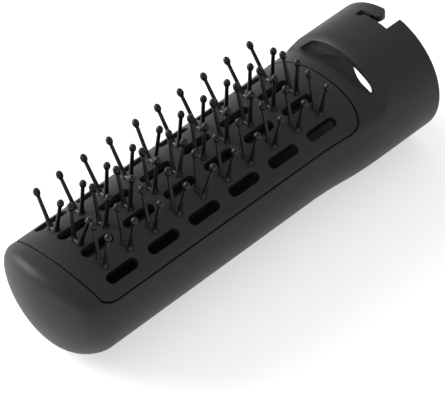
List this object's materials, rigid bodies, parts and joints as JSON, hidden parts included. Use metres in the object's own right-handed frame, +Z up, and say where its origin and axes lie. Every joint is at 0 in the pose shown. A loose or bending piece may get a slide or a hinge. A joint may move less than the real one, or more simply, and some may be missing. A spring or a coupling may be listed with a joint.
{
  "type": "vented brush head",
  "caption": "Detachable vented brush head of a hot air brush: round bar with a flat crown of ball-tipped twin pins and air slots, and an open collar with a bayonet socket for the handle.",
  "frame": {"origin": "centre of the collar's open rear rim, on the axis of the collar and the round bar", "axes": "+X out of the collar along the head's axis, so the head lies along -X; +Y to the side; +Z up, the way the pins point"},
  "size_m": [0.136, 0.0402, 0.0466],
  "materials": {
    "housing": "satin black moulding with a soft sheen",
    "brush_panel": "satin black moulding with a soft sheen",
    "pins": "glossy black nylon",
    "pin_retainer": "plain black",
    "retainer_screws": "plain steel"
  },
  "bodies": {
    "root": {"brush_panel": "brush_panel", "housing": "housing", "pin_pair_left_01": "pins", "pin_pair_left_02": "pins", "pin_pair_left_03": "pins", "pin_pair_left_04": "pins", "pin_pair_left_05": "pins", "pin_pair_left_06": "pins", "pin_pair_left_07": "pins", "pin_pair_left_08": "pins", "pin_pair_left_09": "pins", "pin_pair_left_10": "pins", "pin_pair_middle_01": "pins", "pin_pair_middle_02": "pins", "pin_pair_middle_03": "pins", "pin_pair_middle_04": "pins", "pin_pair_middle_05": "pins", "pin_pair_middle_06": "pins", "pin_pair_middle_07": "pins", "pin_pair_middle_08": "pins", "pin_pair_middle_09": "pins", "pin_pair_middle_10": "pins", "pin_pair_right_01": "pins", "pin_pair_right_02": "pins", "pin_pair_right_03": "pins", "pin_pair_right_04": "pins", "pin_pair_right_05": "pins", "pin_pair_right_06": "pins", "pin_pair_right_07": "pins", "pin_pair_right_08": "pins", "pin_pair_right_09": "pins", "pin_pair_right_10": "pins", "pin_retainer": "pin_retainer", "retainer_screws": "retainer_screws"}
  },
  "joints": []
}
